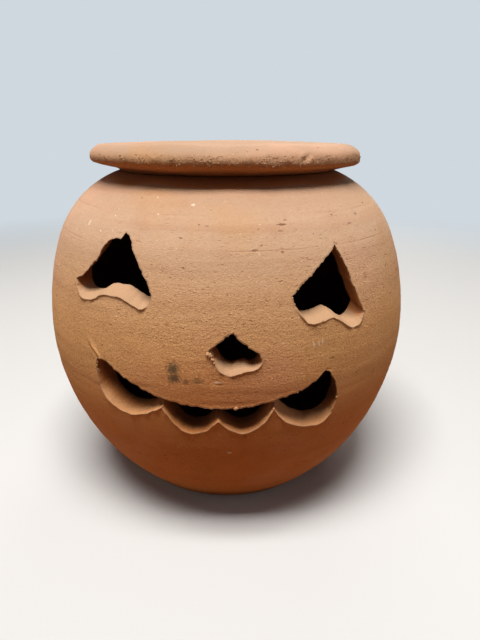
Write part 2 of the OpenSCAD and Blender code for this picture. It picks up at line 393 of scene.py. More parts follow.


# Each cut is a few knife strokes, anticlockwise, through points given as turn and height on the skin.
# On each stroke the knife went in at a slant: shares of the wall to the right and up, then the share of the
# depth at which painted shade starts in the cut, standing in for the light that does not reach in. The rise
# swells towards the skin. The knife pushed up a burr, and left crumbs, given as turn, height, depth in the
# cut and size. Fresh is the share of a fresh cut's pale colour. Margin is the room round the cut in the
# mesh: degrees at its sides, then millimetres below and above
faceCuts = {
    "left_eye": {
        "burr": 0.42, "swell": 1.2, "fresh": 1, "seed": 21, "margin": (5, 5, 7),
        "knife": [(-0.1, 0.33, 1.1), (0, 0.33, 0.5), (-0.5, 0.5, 0.4), (-0.45, 0.5, 0.4)],
        "crumbs": [(-46.2, 128.4, 0, 0.5), (-45.6, 126, 0.2, 0.45), (-44.2, 131.2, 0, 0.4),
                   (-42, 133.4, 0.3, 0.4), (-19.4, 125.4, 0, 0.45), (-29, 125.3, 0, 0.35),
                   (-38.4, 138.6, 0, 0.4), (-36.6, 144.4, 0, 0.4)],
        "strokes": [
            [(-46.3, 128.8), (-45.2, 124.6), (-43, 122), (-40.5, 121.3), (-37.8, 122.3), (-35, 124.8),
             (-32, 125.6), (-28, 125.4), (-25, 123.9), (-22.6, 122.2), (-20.8, 122.8), (-19.5, 125.2)],
            [(-19.1, 128), (-22, 135.3), (-25, 142), (-27.6, 148.2)],
            [(-29.8, 150.7), (-31.2, 148.4)],
            [(-34, 148), (-37, 144.2), (-37.8, 140), (-40.5, 135.4), (-43.6, 130.8)],
        ],
    },
    "right_eye": {
        "burr": 0.42, "swell": 1.2, "fresh": 1, "seed": 22, "margin": (4, 5, 7),
        "knife": [(0, 0.33, 1.1), (0.1, 0.33, 1), (0.25, 0.33, 0.4), (0, 0.33, 0.4)],
        "crumbs": [(16.2, 127, 0, 0.4), (16.6, 124.6, 0, 0.35), (38.4, 116.4, 0, 0.5),
                   (38.2, 114.6, 0.2, 0.45), (34.2, 132, 0, 0.35), (37.4, 112.6, 0, 0.4),
                   (18, 130.2, 0, 0.4), (22, 135, 0, 0.35)],
        "strokes": [
            [(16, 127.5), (17.4, 121.7), (19.6, 116.6), (22, 115.4), (25, 116.2)],
            [(27.4, 117), (30, 114.3), (32.4, 111), (34.2, 110.3), (36.6, 111.9)],
            [(38.4, 115.8), (37, 119.6), (35, 128.5), (33, 138.5)],
            [(31, 145.4), (26, 139.6), (23, 136), (19.6, 132.6), (17.4, 129.4)],
        ],
    },
    "nose": {
        "burr": 0.36, "swell": 2.2, "fresh": 1, "seed": 23, "margin": (3.5, 3.5, 6),
        "knife": [(0.1, 0.36, 0.5), (0, 0.12, 0.2), (0, 0.3, 0.1), (0, 0.3, 0.2)],
        "crumbs": [(-4.9, 106.3, -0.3, 0.8), (-4.7, 105.7, -0.6, 0.7), (-4.5, 105.2, 0.2, 0.9),
                   (-4.3, 104.6, -0.4, 0.75), (-4.1, 104, 0.3, 0.85), (-3.9, 103.4, -0.3, 0.7),
                   (-3.7, 102.8, 0.2, 0.7), (-3.4, 102, -0.2, 0.55), (-4.6, 105.4, 1.2, 0.9),
                   (-4.2, 104.3, 1.4, 0.85), (-3.8, 103.1, 1.5, 0.7), (-4.4, 104.9, 2.4, 0.8),
                   (1, 114.4, 0, 0.5), (7.9, 103.4, 0, 0.35)],
        "strokes": [
            [(-4.8, 106.2), (-3.2, 101.4), (-1.4, 97.1), (0.6, 95.9), (2.6, 96.8)],
            [(4.4, 98), (6.4, 98.4), (7.8, 100.2), (8.1, 102.8)],
            [(7.4, 104.9), (4.5, 108.6), (2.4, 112)],
            [(1, 114.6), (-0.8, 112), (-3, 109.2)],
        ],
    },
    "smile": {
        # painted shade: this cut's faces keep less of the pale colour, for the redder shade in the smile
        "burr": 0.5, "swell": 1.3, "fresh": 0.4, "seed": 24, "margin": (5.5, 8, 4),
        # the low third values of this knife paint the shadow of the upper lip on the middle sills and darken
        # the right end
        "knife": [(0.3, 0.5, 0.2), (0, 0.45, -0.25), (0, 0.42, -0.1), (0.5, 0.27, 1.1), (0.5, 0.27, -0.7),
                  (0.2, 0.3, 0), (0.35, 0.4, -0.35)],
        "crumbs": [(-36.5, 95.4, 0, 0.5), (-36.7, 93.4, 0.3, 0.5), (-36.9, 91.4, 0, 0.5),
                   (-36.9, 89.2, 0.2, 0.45), (-36.8, 87.4, 0.9, 0.4), (-31.6, 72.4, 0, 0.35),
                   (-18.6, 77, 0, 0.4), (-17, 78.4, 0.3, 0.5), (11.2, 78.2, 0.2, 0.6),
                   (29.5, 77.6, 0, 0.5), (28.9, 71, 0, 0.45), (8.2, 69.8, 0, 0.4),
                   (1.6, 79.8, 0, 0.8), (2.2, 79.9, 0, 0.5), (17.6, 85.3, 0, 0.4)],
        "strokes": [
            [(-36.5, 81.5), (-35.2, 77.2), (-32, 72.6), (-28, 70.9), (-24, 72.3), (-20, 75.4)],
            [(-17, 78.6), (-15.5, 74), (-13, 68.2), (-9.5, 65.5), (-6, 67.3), (-4.3, 70.4)],
            [(-2.7, 73.6), (-0.8, 69.7), (2, 66.6), (4.2, 66), (7, 67.8), (9.2, 72)],
            [(11.2, 78.3), (14, 72), (18, 67), (22, 65), (26, 65.2)],
            [(28.6, 69.5), (29.6, 78), (28.5, 86), (26.4, 92)],
            [(25.1, 93.1), (22, 89), (18, 85.6), (12, 82.7), (6, 80.6), (0, 79.7), (-6, 80), (-12, 81.3),
             (-18, 83.5), (-25, 88.2), (-30.5, 93), (-33, 95.2)],
            [(-36.3, 96.2), (-36.9, 90)],
        ],
    },
}
cutEdge = {
    "wobble": 0.16, "wobbleCell": 3,        # unsteadiness of the outline, in cells of this length
    "ragged": 0.34, "raggedCell": 1.5,      # raggedness of its upper edges
    "least": 0.3,                           # share of raggedness, or of the burr, on all the other edges
    "burrUneven": 0.85, "cutWave": 0.18,    # unevenness of the burr and of the cut faces
    "burrRow": 7, "waveRow": 20,            # rows of the noise that these two take
    "waveCells": 2.5,                       # cells of it from the front of the wall to the back
    "raggedSeed": 50, "fineSeed": 60, "crumbSeed": 70,    # added to the cut's own seed
    # how far the outline faces up or down, from where these begin to where they are full
    "raggedFacing": (-0.3, 0.5), "burrFacing": (-0.2, 0.7), "sillFacing": (0.1, 0.7),
    # distance outside the outline, and share of the burr's height there
    "lip": [(1.6, 0), (1.05, 0.07), (0.68, 0.35), (0.42, 0.78), (0.21, 1), (0.05, 0.95)],
    "paleLip": (0.3, 1.0), "edgeDrop": 0.25, "wallEnds": (0.02, 0.98), "backLip": (0.35, 1.1),
    "skinRings": 8, "wallRings": 9, "backRings": 3, "relaxing": 300,
    "rounding": 60,                         # passes that soften the outline's normal and the knife's values
    "square": 0.65,                         # 0 spaces points by length alone, 1 squarely to the window
    # painted shade in the cuts: how much of the depth it takes to come in, then its share on faces that look
    # sideways, and where in the depth that starts and is full
    "shadeReach": 0.9, "sideShade": 0.55, "sideShadeDepth": (-0.15, 0.5),
    "crumbEvery": 4, "crumbSize": (0.15, 0.36), "crumbDepth": (0, 0.5), "crumbPale": 0.7,
    "crumbRings": 3, "crumbSpokes": 6, "crumbSpan": 54,
    "crumbSquash": (0.75, 1.25), "crumbLump": (0.8, 1.2),
}

perTurn = np.radians(bellyRadius)       # millimetres round the belly for a degree
frontColumns = np.arange(-potForm["frontReach"], potForm["frontReach"], potForm["frontStep"])
backColumns = np.arange(potForm["frontReach"], 360 - potForm["frontReach"], potForm["backStep"])
columns = np.concatenate([frontColumns, backColumns])

# Rows are even along the outer profile
profileHeights = np.linspace(potForm["footRound"], rimHeight, potForm["profilePoints"])
profileSteps = np.hypot(np.diff(profileHeights), np.diff(outerRadius(profileHeights)))
profileLength = np.concatenate([[0], np.cumsum(profileSteps)])
rowCount = round(profileLength[-1] / potForm["rowStep"])
rows = np.interp(np.linspace(0, profileLength[-1], rowCount + 1), profileLength, profileHeights)


# Dip of a row below its height at the back: a bell round the smile, fading out up and down the wall
def rowSag(turn, row):
    bell = np.exp(-(turnGap(turn, potForm["sagTurn"]) / potForm["sagWidth"]) ** 2)
    return potForm["sag"] * bell * between(row, *potForm["sagRows"])


# The row that passes through a place, found by repeating row = height + sag(row)
def rowThrough(turn, height):
    row = height
    for _ in range(potForm["sagPasses"]):
        row = height + rowSag(turn, row)
    return np.interp(row, rows, np.arange(len(rows)))


# Outline of a cut, with the knife's values at each point. A stroke ends where the next one starts
def cutOutline(cut):
    following = cut["strokes"][1:] + cut["strokes"][:1]
    strokes = [smoothStroke([*stroke, after[0]]) for stroke, after in zip(cut["strokes"], following)]
    knife = [np.tile(values, (len(stroke), 1)) for stroke, values in zip(strokes, cut["knife"])]
    return np.hstack([np.vstack(strokes), np.vstack(knife)])


# Column and row numbers round the edge of a window in the mesh, anticlockwise from its low left corner
def windowEdge(left, right, low, high, step):
    across, up = np.arange(left, right, step), np.arange(low, high, step)
    edgeColumns = [across, np.full(len(up), right), across[::-1] + step, np.full(len(up), left)]
    edgeRows = [np.full(len(across), low), up, np.full(len(across), high), up[::-1] + step]
    return np.concatenate(edgeColumns), np.concatenate(edgeRows)


# Spreads points along a closed outline so that each side of the window gets the stretch that faces it.
# The stretches part where the outline is nearest the window's corners. Along a stretch the points are
# spaced by a mix of true length and of how far it goes along that side of the window
def facePoints(outline, window):
    left, right, low, high = window
    column = (outline[:, 0] + potForm["frontReach"]) / potForm["frontStep"]
    row = rowThrough(outline[:, 0], outline[:, 1])
    across, up = (column - left) / (right - left), (row - low) / (high - low)
    corners = np.array([(0, 0), (1, 0), (1, 1), (0, 1)])
    nearest = np.argmin(np.hypot(across - corners[:, :1], up - corners[:, 1:]), 1)
    order = np.arange(nearest[0], nearest[0] + len(outline) + 1) % len(outline)
    stations = [*((nearest - nearest[0]) % len(outline)), len(outline)]
    line, column, row = outline[order] * (perTurn, 1, 1, 1, 1), column[order], row[order]
    lengths = np.concatenate([[0], np.cumsum(np.hypot(*np.diff(line[:, :2], axis=0).T))])
    spread = []
    for side, (first, last) in enumerate(zip(stations, stations[1:])):
        travel = (column if side % 2 == 0 else row)[first:last + 1]
        travel = np.concatenate([[0], np.cumsum(np.abs(np.diff(travel)))])
        length = lengths[first:last + 1]
        share = (length - length[0]) / (length[-1] - length[0])
        share = share + (travel / travel[-1] - share) * cutEdge["square"]
        count = right - left if side % 2 == 0 else high - low
        spread.append(np.interp(np.arange(count) / count, share, length))
    spread = np.concatenate(spread)
    points = np.stack([np.interp(spread, lengths, part) for part in line.T], -1)
    return points[:, :2], points[:, 2:], spread / lengths[-1], lengths[-1]


# Even rows and columns of the mesh that leave a margin round an outline
def windowRound(outline, margin):
    turn, height = outline[:, :2].T
    reach, step = potForm["frontReach"], potForm["frontStep"]
    row = rowThrough(turn, height)
    below, above = margin[1] / potForm["rowStep"], margin[2] / potForm["rowStep"]
    left, right = turn.min() - margin[0] + reach, turn.max() + margin[0] + reach
    edges = [left / step, right / step, row.min() - below, row.max() + above]
    return [2 * round(edge / 2) for edge in edges]


# Rings between two fixed ones that neither cross nor crowd: points are moved by steps towards the grid that
# is smooth both ways, vv p_uu - 2 uv p_uv + uu p_vv = 0, for u along a ring and v from ring to ring
def relax(first, last, count):
    p = first + (last - first) * np.linspace(0, 1, count + 2)[:, None, None]
    for _ in range(cutEdge["relaxing"]):
        right, left = np.roll(p, -1, 1), np.roll(p, 1, 1)
        along, across = (right - left)[1:-1] / 2, (p[2:] - p[:-2]) / 2
        uu = np.sum(along ** 2, -1, keepdims=True)
        vv = np.sum(across ** 2, -1, keepdims=True)
        uv = np.sum(along * across, -1, keepdims=True)
        twist = (right[2:] - left[2:] - right[:-2] + left[:-2]) / 4
        sides = vv * (right + left)[1:-1] + uu * (p[2:] + p[:-2])
        p[1:-1] = (sides - 2 * uv * twist) / (2 * (uu + vv))
    return p[1:-1]


# Surface of one cut, as a grid of points round the outline by rings through the wall: in from the
# window's edge over the skin, over the burr, along the knife's path, and out over the inner skin
def cutGrid(clay, cut, window):
    e = cutEdge
    line, knife, along, total = facePoints(cutOutline(cut), window)
    step = np.roll(line, -1, 0) - np.roll(line, 1, 0)
    normal = np.stack([step[:, 1], -step[:, 0]], -1) / np.linalg.norm(step, axis=1)[:, None]
    values = np.hstack([normal, knife])
    for _ in range(e["rounding"]):
        values = (np.roll(values, 1, 0) + 2 * values + np.roll(values, -1, 0)) / 4
    normal, slant, shadeStart = values[:, :2], values[:, 2:4], values[:, 4]

    # noise along the outline in so many cells, at one row or more of its lattice
    def alongNoise(cells, row=0, seed=0):
        return valueNoise(along * cells, 0 * along + row, cut["seed"] + seed, cells)

    # shares of the slant at a depth: even to the side, and 1 - (1 - depth) ^ swell upwards
    def slantShare(depth):
        return np.stack([depth, 1 - (1 - depth) ** cut["swell"]], -1)

    upward, rest = normal[:, 1], 1 - e["least"]
    cells, crumbs = round(total / e["wobbleCell"]), round(total / e["raggedCell"])
    ragged = e["ragged"] * (e["least"] + rest * ease(upward, *e["raggedFacing"]))
    wobble = e["wobble"] * alongNoise(cells)
    wobble = wobble + ragged * alongNoise(crumbs, 0, e["raggedSeed"])
    wobble = wobble + ragged / 2 * alongNoise(2 * crumbs, 0, e["fineSeed"])
    line = line + wobble[:, None] * normal
    burr = cut["burr"] * (e["least"] + rest * ease(-upward, *e["burrFacing"]))
    burr = burr * (1 + e["burrUneven"] * alongNoise(cells, e["burrRow"]))

    edgeColumns, edgeRows = windowEdge(*window, 1)
    edgeTurn = columns[edgeColumns]
    edge = np.stack([edgeTurn * perTurn, rows[edgeRows] - rowSag(edgeTurn, rows[edgeRows])], -1)
    reach, lift = np.array(e["lip"]).T[:, :, None]
    lip = line + reach[:, :, None] * normal
    skinRings = relax(edge, lip[0], e["skinRings"])
    over = np.concatenate([skinRings, lip])
    overRadius = skinRadius(over[..., 0] / perTurn, over[..., 1])
    overRadius[-len(lift):] += lift * burr
    overCut = np.vstack([np.zeros((len(skinRings), 1)), ease(lift, *e["paleLip"])])

    # the wall of the cut: straight lines in towards the axis, rising, with a slight wave
    backLine = line + slant * (outerRadius(line[:, 1]) - innerRadius(line[:, 1]))[:, None]
    backRadius = hollowRadius(backLine[:, 0] / perTurn, backLine[:, 1])
    depth = np.linspace(*e["wallEnds"], e["wallRings"])[:, None]
    wave = e["cutWave"] * alongNoise(cells, e["waveCells"] * depth + e["waveRow"]) * np.sin(np.pi * depth)
    wall = line + (backLine - line) * slantShare(depth) + wave[:, :, None] * normal
    edgeRadius = overRadius[-1] - e["edgeDrop"]
    wallRadius = edgeRadius + (backRadius - edgeRadius) * depth

    backReach = np.array(e["backLip"])[:, None]
    backLip = backLine + backReach[:, :, None] * normal
    back = np.concatenate([backLip, relax(backLip[-1], edge, e["backRings"])])
    backRings = hollowRadius(back[..., 0] / perTurn, back[..., 1])
    hidden = np.ones((e["backRings"], 1))
    # painted shade: the sides of the cuts are darkened by how far they face sideways, and the sills only
    # deeper in
    side = 1 - ease(-upward, *e["sillFacing"])
    sideShade = e["sideShade"] * side * ease(depth, *e["sideShadeDepth"])
    paintedShade = np.maximum(ease(depth, shadeStart, shadeStart + e["shadeReach"]), sideShade)

    place = np.concatenate([over, wall, back])
    number = clay.add(
        place[..., 0] / perTurn,
        np.vstack([overRadius, wallRadius, backRings]),
        place[..., 1],
        np.vstack([overCut, cut["fresh"] + 0 * depth, 1 - ease(backReach, 0, 1), 0 * hidden]),
        np.vstack([0 * overCut * along, paintedShade, ease(backReach, 0, 1) + 0 * along, hidden + 0 * along]),
    )
    clay.skin(number)

    # crumbs: the ones that show in the cut, then small ones at random along its ragged edges
    draw = np.random.default_rng(cut["seed"] + e["crumbSeed"])
    count = round(total / e["crumbEvery"])
    loose = draw.choice(len(line), count, p=ragged / ragged.sum())
    turn, height, deep, size = np.array(cut["crumbs"]).T
    apart = np.hypot(line[:, :1] - turn * perTurn, line[:, 1:] - height)
    spot = np.concatenate([np.argmin(apart, 0), loose])
    deep = np.concatenate([deep, draw.uniform(*e["crumbDepth"], count)]) / potForm["wall"]
    size = np.concatenate([size, draw.uniform(*e["crumbSize"], count)])
    place = line[spot] + (backLine - line)[spot] * slantShare(deep)
    radius = edgeRadius[spot] + (backRadius - edgeRadius)[spot] * deep
    scatterCrumbs(clay, place[:, 0] / perTurn, radius, place[:, 1], size, draw)
    return number


# Little closed balls, each squashed and made lumpy by random shares, half sunk in the clay
def scatterCrumbs(clay, turn, radius, height, size, draw):
    e = cutEdge
    count, rings, spokes, pale = len(turn), e["crumbRings"], e["crumbSpokes"], e["crumbPale"]
    up = np.radians(np.linspace(-e["crumbSpan"], e["crumbSpan"], rings))[None, :, None]
    around = np.radians(np.arange(spokes) * 360 / spokes)
    turn, radius, height, size = (part[:, None, None] for part in (turn, radius, height, size))
    wide, thick, tall = draw.uniform(*e["crumbSquash"], (3, count, 1, 1))
    lump = size * draw.uniform(*e["crumbLump"], (count, rings, spokes))
    across = wide * lump * np.cos(up) * np.sin(around)
    out = thick * lump * np.cos(up) * np.cos(around)
    rise = tall * lump * np.sin(up)
    balls = clay.add(turn + np.degrees(across / radius), radius + out, height + rise, pale)
    low = clay.add(turn, radius, height - tall * size, pale)
    high = clay.add(turn, radius, height + tall * size, pale)
    for ball, below, above in zip(balls, low[:, :, 0], high[:, :, 0]):
        clay.bridge(below, ball[0])
        clay.skin(ball)
        clay.bridge(ball[-1], above)


def thrownPot(material):
    f = potForm
    clay = ClayMesh()
    sparse = columns[::2]
    angle = np.radians(sparse)
    rowHeights = rows[:, None] - rowSag(columns, rows[:, None])
    # painted shadow: the top of the shoulder under the lid is darkened and reddened through the inside mask,
    # carrying the lid's shadow on down the shoulder, with an uneven lower edge
    rimShadowEdgeHeights = rowHeights + roundNoise(columns, rowHeights, *potRelief["rimShadowEdge"])
    paintedRimShadow = f["rimShadow"] * ease(rimShadowEdgeHeights, *f["rimShadowHeights"])
    outer = clay.add(columns, skinRadius(columns, rowHeights), rowHeights, inside=paintedRimShadow)
    top = 2 * (np.searchsorted(rows, f["innerTop"]) // 2)
    low = 2 * (np.searchsorted(rows, f["innerLow"]) // 2 + 1)
    hollowRows = np.arange(top, low - 1, -2)
    hollowHeights = rowHeights[hollowRows, ::2]
    hollow = clay.add(sparse, hollowRadius(sparse, hollowHeights), hollowHeights, inside=1)

    keepOuter = np.ones((len(outer) - 1, len(columns)), bool)
    keepHollow = np.ones((len(hollow) - 1, len(columns) // 2), bool)
    for name, cut in faceCuts.items():
        window = windowRound(cutOutline(cut), cut["margin"])
        left, right, bottom, up = window
        keepOuter[bottom:up, left:right] = False
        keepHollow[(top - up) // 2:(top - bottom) // 2, left // 2:right // 2] = False
        number = cutGrid(clay, cut, window)
        edgeColumns, edgeRows = windowEdge(*window, 1)
        clay.bridge(outer[edgeRows, edgeColumns], number[0])
        edgeColumns, edgeRows = windowEdge(*window, 2)
        clay.bridge(number[-1], hollow[(top - edgeRows) // 2, edgeColumns // 2])
        print("cut", name, "window", window)
    clay.skin(outer, keepOuter)
    clay.skin(hollow, keepHollow)

    # over the rim: flat top, half-round lip, and back to the hollow's first row
    mouth, thick = f["mouthDiameter"] / 2, lipThick / 2
    lipTop, hollowTop = rimHeight - f["lipGap"], hollowHeights[0, 0]
    rim = softPath([
        (f["rimDiameter"] / 2, lipTop),
        *arc((mouth + thick, lipTop - thick), thick, 90, 270, 24),
        (innerRim, rimHeight - lipThick),
        (hollowRadius(0, hollowTop), hollowTop),
    ], f["lipStep"], f["softening"])[1:-1]
    sway = roundNoise(sparse, 0 * sparse, *potRelief["lipSway"])
    # painted shade: the lip under the lid keeps at least the painted shadow, and darkens into the mouth as
    # soot and painted shade
    paintedShade = np.maximum(f["rimShadow"], ease(rim[:, :1], *f["lipSootShadeRadii"]))
    lip = clay.add(sparse, rim[:, :1] + sway, rim[:, 1:], inside=paintedShade)
    clay.bridge(outer[-1], lip[0])
    clay.skin(lip)
    clay.bridge(lip[-1], hollow[0])

    # floor of the hollow, with the spiral that the thrower's finger leaves
    hollowFoot = hollowHeights[-1, 0]
    floorPath = softPath([
        (innerRadius(hollowFoot), hollowFoot),
        (f["floorDiameter"] / 2, f["floor"]),
        (0, f["floor"]),
    ], f["floorStep"], f["softening"])[1:-1]
    floorRadius, floorHeight = floorPath.T[:, :, None]
    swirl = f["swirl"] * np.sin(angle + floorRadius * f["swirlPitch"])
    swirl = swirl * ease(floorRadius, 0, f["swirlReach"])
    ground = clay.add(sparse, floorRadius, floorHeight + swirl, inside=1)
    clay.bridge(hollow[-1], ground[0])
    clay.skin(ground)
    clay.bridge(ground[-1], clay.middle(f["floor"], 1))

    # under the foot: a turned edge and a flat base with a shallow wire-cut shell pattern
    turned = f["footRound"]
    turnedEdge = arc((outerRadius(turned) - turned, turned), turned, 0, -90, 6)[1:]
    foot = clay.add(columns, turnedEdge[:, :1], turnedEdge[:, 1:])
    baseRadius = turnedEdge[-1, 0]
    flat = np.linspace(baseRadius - f["baseStep"], f["baseStep"], f["baseRings"])[:, None]
    x, y = flat * np.sin(angle), flat * np.cos(angle)
    away = np.hypot(x - f["wireCentre"][0], y - f["wireCentre"][1])
    shell = f["wire"] + f["wire"] * np.sin(away * f["wirePitch"])
    base = clay.add(sparse, flat, shell * ease(baseRadius - flat, 0, f["wireReach"]))
    clay.bridge(clay.middle(f["baseMiddle"]), base[-1])
    clay.skin(base[::-1])
    clay.bridge(base[0], foot[-1])
    clay.skin(foot[::-1])
    clay.bridge(foot[0], outer[0])
    return clay.build("thrown_pot", material)


lidForm = {
    "edgeThick": 13.2, "edgeReach": 9, "dome": 1.5, "seatDiameter": 114, "bevel": 18,
    "ringDepth": 9, "ringThick": 7, "ringPlay": 1.5, "step": 0.6, "softening": 12,
    # painted shade on the underside: how much on the bevel, and more on the seat
    "bevelShade": 0.3, "seatShade": 0.3, "blend": 2, "seatBlend": 3, "wornBlend": 4,
    # how far the skin faces up or down where it starts to count as the top or underside, and where it does
    "topFacing": (0.2, 0.8), "underFacing": (-0.4, 0.6), "shadeFacing": (0.1, 0.6),
    "liftLeft": 0.5, "droopRight": 0.4, "thickRight": 1.1,    # it lies a little higher on the left
    "hollowLeft": 1.2,                                        # and is hollowed there, next to the seat
    "lump": 0.22, "lumpCell": 19, "lumpStart": 8, "lumpSeed": 31, "oval": 0.3, "ovalTurn": 50,
    "ring": 0.09, "ringPitch": 0.8, "ringDrift": 0.6,
    # noises of the edge, the first where it is worn: amount, cell in degrees and in millimetres, and seed
    "grit": (0.12, 1.2, 0.9, 32), "wave": (0.12, 4, 3, 33), "wornHeight": 5, "wornReach": 2.6,
    # crumbs of grit, mostly within a reach of the front and between four turns at the back
    "crumbs": 900, "crumbSize": (0.1, 0.37), "crumbHeights": (4.5, 9.5), "seed": 35,
    "crumbReach": 34, "crumbsBehind": (140, 170, 210, 240), "crumbLeast": 0.12,
    # turn, height, radius and depth of the dents in the edge, then of burrs, which stand out
    "dents": [(27.4, 179.4, 1.4, 0.5), (28.5, 180.1, 1.6, 0.7), (29.8, 180.9, 1.6, 0.7),
              (31, 181.7, 1.3, 0.5), (-18, 177.8, 1.5, 0.7), (-25, 181, 1, 0.4), (6, 177.2, 1.2, 0.5),
              (-4, 179.5, 0.9, 0.4), (14, 180.4, 0.9, 0.4), (21, 177.6, 1.3, 0.45), (-50, 178, 1.4, 0.5),
              (-38, 177.4, 1.2, 0.4), (52, 178.6, 1.4, 0.4), (120, 179, 1.8, 0.7), (205, 181, 1.6, 0.5),
              (250, 178, 1.5, 0.6), (26.6, 180.9, 1.0, -0.35), (27.9, 182, 1.0, -0.4),
              (29.4, 178.6, 1.0, -0.4), (31.3, 179.8, 1.0, -0.4)],
}


# Revolved disc: domed top, round edge, bevelled underside, flat seat and a centring ring, then moved
# along its own normal by lumps, faint rings, dents and the grit of the worn edge
def discLid(material):
    f = lidForm
    edge = f["edgeThick"] / 2
    lidRadius = (lidHigh[0] - lidLow[0]) / 2
    flat = lidRadius - f["edgeReach"]
    topHeight = lidHigh[2]
    domeRadius = (flat ** 2 + f["dome"] ** 2) / (2 * f["dome"])
    domeAngle = np.degrees(np.arcsin(flat / domeRadius))
    slope = np.radians(f["bevel"])
    seat = f["seatDiameter"] / 2
    ringOut = potForm["mouthDiameter"] / 2 - f["ringPlay"]
    ringMid, ringRound = ringOut - f["ringThick"] / 2, f["ringThick"] / 2
    ringLow = rimHeight - f["ringDepth"] + ringRound
    # the edge's ellipse and the bevel's line meet where edge + edge sin t = (flat + reach cos t - seat) tan
    lean = f["edgeReach"] * np.tan(slope)
    rise = ((flat - seat) * np.tan(slope) - edge) / np.hypot(edge, lean)
    meet = np.degrees(np.arctan2(lean, edge) + np.arcsin(rise))
    path = softPath([
        *arc((0, topHeight - domeRadius), domeRadius, 90, 90 - domeAngle, 60),
        *arc((flat, rimHeight + edge), (f["edgeReach"], edge), 88, meet, 40),
        (seat, rimHeight), (ringOut, rimHeight),
        *arc((ringMid, ringLow), ringRound, 0, -180, 24),
        (ringMid - ringRound, rimHeight), (0, rimHeight),
    ], f["step"], f["softening"])[1:-1]
    # the flat top and the underside need only every second row
    blend = f["blend"]
    path = path[(path[:, 0] > flat - blend) | (np.arange(len(path)) % 2 == 0)]
    radius, height = path.T[:, :, None]
    along = np.gradient(path, axis=0)
    normal = np.stack([-along[:, 1], along[:, 0]], -1) / np.linalg.norm(along, axis=1)[:, None]
    normalOut, normalUp = normal.T[:, :, None]

    angle = np.radians(columns)
    x, y = radius * np.sin(angle), radius * np.cos(angle)
    onTop = ease(normalUp, *f["topFacing"])
    onEdge = ease(radius, seat + blend, flat + blend)
    lumpX, lumpY = (f["lumpStart"] + part / f["lumpCell"] for part in (x, y))
    relief = f["lump"] * valueNoise(lumpX, lumpY, f["lumpSeed"]) * (onTop + onEdge)
    rings = np.sin(radius * f["ringPitch"] + f["ringDrift"] * np.sin(angle))
    relief = relief + f["ring"] * rings * onTop
    relief = relief + f["oval"] * np.cos(np.radians(2 * columns + f["ovalTurn"])) * onEdge * (1 - onTop)
    worn = np.exp(-((height - rimHeight - f["wornHeight"]) / f["wornReach"]) ** 2)
    worn = worn * ease(radius, flat, flat + f["wornBlend"])
    relief = relief + worn * roundNoise(columns, height, *f["grit"])
    relief = relief + onEdge * roundNoise(columns, height, *f["wave"])
    for turn, dentHeight, wide, deep in f["dents"]:
        across = np.radians(turnGap(columns, turn)) * lidRadius
        spot = np.exp(-(across ** 2 + (height - dentHeight) ** 2) / (0.5 * wide ** 2))
        relief = relief - deep * spot * ease(radius, flat - blend, flat + blend)
    sideways = x / lidRadius * ease(radius, seat, lidRadius)
    lift = -sideways * np.where(sideways > 0, f["droopRight"], f["liftLeft"])
    under = ease(-normalUp, *f["underFacing"])
    lift = lift - np.maximum(sideways, 0) * f["thickRight"] * under
    nextToSeat = between(radius, seat - 1, seat + blend, seat + blend, lidRadius - 1)
    lift = lift + np.maximum(-x / radius, 0) * f["hollowLeft"] * nextToSeat * under
    clay = ClayMesh()
    # painted shade on the faces that look down, more on the seat, laid through the inside mask
    onSeat = 1 - ease(radius, seat, seat + f["seatBlend"])
    paintedShade = ease(-normalUp, *f["shadeFacing"]) * (f["bevelShade"] + f["seatShade"] * onSeat)
    radius, height = radius + relief * normalOut, height + relief * normalUp + lift
    number = clay.add(columns, radius, height, 0, paintedShade)
    clay.bridge(clay.middle(topHeight), number[0][::-1])
    clay.skin(number[:, ::-1])
    clay.bridge(number[-1][::-1], clay.middle(rimHeight, paintedShade[-1]))
    # grit that stands out of the worn edge
    draw = np.random.default_rng(f["seed"])
    low, high = rimHeight + np.array(f["crumbHeights"])
    edgeRows = np.flatnonzero((path[:, 0] > flat) & (path[:, 1] > low) & (path[:, 1] < high))
    behind = between(columns, *f["crumbsBehind"])
    gritty = f["crumbLeast"] + np.exp(-(columns / f["crumbReach"]) ** 2) + behind
    row = draw.choice(edgeRows, f["crumbs"])
    column = draw.choice(len(columns), f["crumbs"], p=gritty / gritty.sum())
    small, large = f["crumbSize"]
    size = small + (large - small) * draw.uniform(0, 1, f["crumbs"]) ** 3
    scatterCrumbs(clay, columns[column], radius[row, column], height[row, column], size, draw)
    return clay.build("disc_lid", material)


